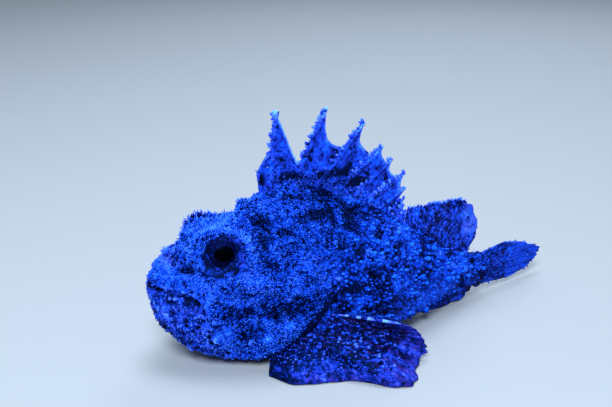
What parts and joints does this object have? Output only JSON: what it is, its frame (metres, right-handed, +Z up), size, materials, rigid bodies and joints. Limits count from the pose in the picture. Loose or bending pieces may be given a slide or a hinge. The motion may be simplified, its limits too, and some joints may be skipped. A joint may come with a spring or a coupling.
{
  "type": "false stonefish (humpback scorpionfish) model",
  "caption": "Life-size humpback scorpionfish at rest on its belly, head low, tail curved away, notched back fin raised and breast fins spread.",
  "frame": {"origin": "centre of the fish's bounding box, at the floor it rests on", "axes": "-X towards the mouth, +X towards the tail, -Y on the fish's left side, +Z up"},
  "size_m": [0.2354, 0.1202, 0.1183],
  "materials": {
    "head": "rough skin with fine tassels",
    "lower_jaw": "smooth mottled skin",
    "trunk": "mottled skin with pale flecks",
    "tail": "mottled skin with pale flecks",
    "eye_left": "wet and dark",
    "eye_right": "wet and dark",
    "spiny_back_fin": "thin translucent web",
    "soft_back_fin": "mottled web",
    "tail_fin": "mottled web",
    "anal_fin": "mottled web",
    "breast_fin_left": "mottled web with pale rays",
    "breast_fin_right": "mottled web with pale rays",
    "belly_fin_left": "mottled web",
    "belly_fin_right": "mottled web"
  },
  "bodies": {
    "root": {"head": "head", "lower_jaw": "lower_jaw", "trunk": "trunk", "tail": "tail", "eye_left": "eye_left", "eye_right": "eye_right", "spiny_back_fin": "spiny_back_fin", "soft_back_fin": "soft_back_fin", "tail_fin": "tail_fin", "anal_fin": "anal_fin", "breast_fin_left": "breast_fin_left", "breast_fin_right": "breast_fin_right", "belly_fin_left": "belly_fin_left", "belly_fin_right": "belly_fin_right"}
  },
  "joints": []
}
